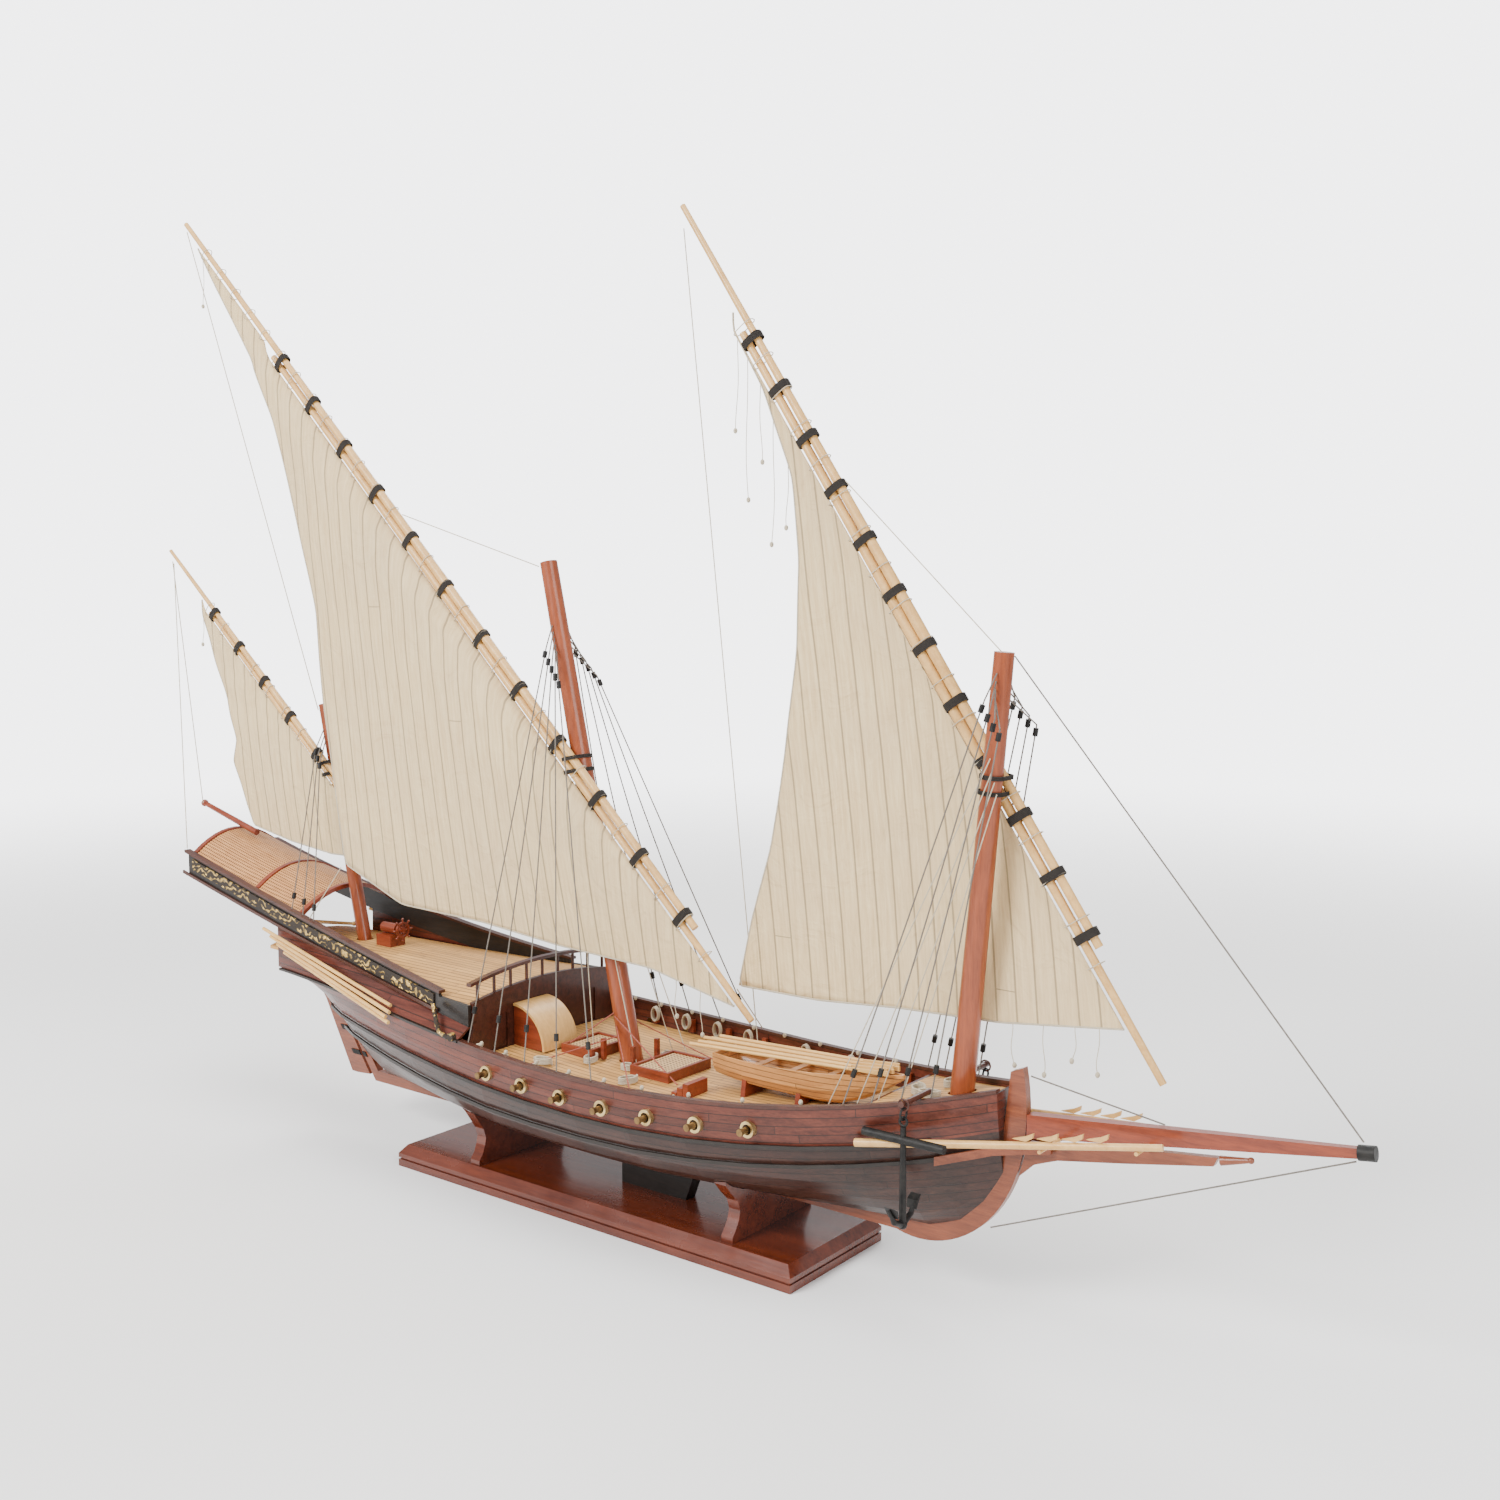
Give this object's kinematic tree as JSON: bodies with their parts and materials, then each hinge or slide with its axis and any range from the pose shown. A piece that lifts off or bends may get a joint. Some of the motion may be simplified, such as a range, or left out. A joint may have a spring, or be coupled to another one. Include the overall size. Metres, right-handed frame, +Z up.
{
  "type": "ship display model",
  "caption": "Wooden three-masted lateen xebec display model on a moulded base board, with swinging yards, rudder, helm and anchors.",
  "frame": {"origin": "centre of the base board's underside", "axes": "+X towards the bow, -Y starboard, +Z up"},
  "size_m": [0.9107, 0.1678, 0.655],
  "materials": {
    "stand_wood": "gloss",
    "block_black": "satin",
    "screw_steel": "satin",
    "hull_wood": "satin",
    "keel_wood": "satin",
    "black_trim": "satin",
    "deck_wood": "matte",
    "dark_wood": "satin",
    "gilt": "satin",
    "light_wood": "satin",
    "red_wood": "satin",
    "mast_wood": "satin",
    "brass_metal": "satin",
    "iron_black": "matte",
    "sail_cloth": "matte",
    "rope_cream": "matte",
    "rope_grey": "matte"
  },
  "bodies": {
    "stand": {"base_board": "stand_wood", "stand_cradles": "stand_wood", "cradle_screws": "screw_steel", "keel_block": "block_black"},
    "hull": {"hull_planking": "hull_wood", "keel_and_stem": "keel_wood", "wales": "black_trim", "gunwale_caps": "dark_wood", "quarter_sides": "hull_wood", "quarter_boards": "black_trim", "quarter_rails": "dark_wood", "quarter_carvings": "gilt", "waist_deck": "deck_wood", "forecastle_deck": "deck_wood", "quarterdeck": "deck_wood", "bulkheads": "dark_wood", "balustrade": "dark_wood", "poop_frame": "red_wood", "poop_gratings": "light_wood", "beak_spar": "mast_wood", "beak_collar": "iron_black", "beak_knee": "keel_wood", "head_rails": "light_wood", "sternpost_straps": "iron_black", "helm_stand": "red_wood", "companion_hood": "light_wood", "deck_joinery": "red_wood", "hatch_gratings": "light_wood", "gun_barrels": "brass_metal", "gunport_wreaths": "brass_metal", "ships_boat": "light_wood", "boat_sweeps": "light_wood", "stowed_sweeps": "light_wood", "catheads": "dark_wood", "shrouds": "rope_grey", "shroud_blocks": "iron_black", "stays": "rope_grey", "main_mast": "mast_wood", "fore_mast": "mast_wood", "mizzen_mast": "mast_wood"},
    "rudder": {"rudder": "keel_wood", "rudder_straps": "iron_black", "tiller": "light_wood"},
    "helm_wheel": {"helm_wheel": "red_wood"},
    "anchor_port": {"anchor_port": "iron_black"},
    "anchor_starboard": {"anchor_starboard": "iron_black"},
    "main_rig": {"main_yard": "light_wood", "main_lashings": "iron_black", "main_sail": "sail_cloth", "main_running_lines": "rope_cream"},
    "fore_rig": {"fore_yard": "light_wood", "fore_lashings": "iron_black", "fore_sail": "sail_cloth", "fore_running_lines": "rope_cream"},
    "mizzen_rig": {"mizzen_yard": "light_wood", "mizzen_lashings": "iron_black", "mizzen_sail": "sail_cloth", "mizzen_running_lines": "rope_cream"}
  },
  "joints": [
    {"name": "hull_lift", "type": "slide", "parent": "stand", "child": "hull", "axis": [0, 0, 1], "range_m": [0, 0.12]},
    {"name": "rudder_swing", "type": "hinge", "parent": "hull", "child": "rudder", "pos_m": [-0.248, 0, 0.045], "axis": [-0.5926, 0, 0.8055], "range_deg": [-30, 30]},
    {"name": "helm_spin", "type": "hinge", "parent": "hull", "child": "helm_wheel", "pos_m": [-0.206, 0, 0.14475], "axis": [1, 0, 0], "continuous": true},
    {"name": "main_yard_swing", "type": "hinge", "parent": "hull", "child": "main_rig", "pos_m": [0.005, 0, 0.099], "axis": [-0.2141, 0, 0.9768], "range_deg": [-1, 5], "deforming": ["main_running_lines"]},
    {"name": "fore_yard_swing", "type": "hinge", "parent": "hull", "child": "fore_rig", "pos_m": [0.2384, 0, 0.1174], "axis": [0.0908, 0, 0.9959], "range_deg": [-5, 2], "deforming": ["fore_running_lines"]},
    {"name": "mizzen_yard_swing", "type": "hinge", "parent": "hull", "child": "mizzen_rig", "pos_m": [-0.247, 0, 0.1322], "axis": [-0.2313, 0, 0.9729], "range_deg": [-1, 5], "deforming": ["mizzen_running_lines"]},
    {"name": "anchor_port_swing", "type": "hinge", "parent": "hull", "child": "anchor_port", "pos_m": [0.2285, 0.0426, 0.1144], "axis": [1, 0, 0], "range_deg": [0, 30]},
    {"name": "anchor_starboard_swing", "type": "hinge", "parent": "hull", "child": "anchor_starboard", "pos_m": [0.2285, -0.0426, 0.1144], "axis": [-1, 0, 0], "range_deg": [0, 30]}
  ]
}
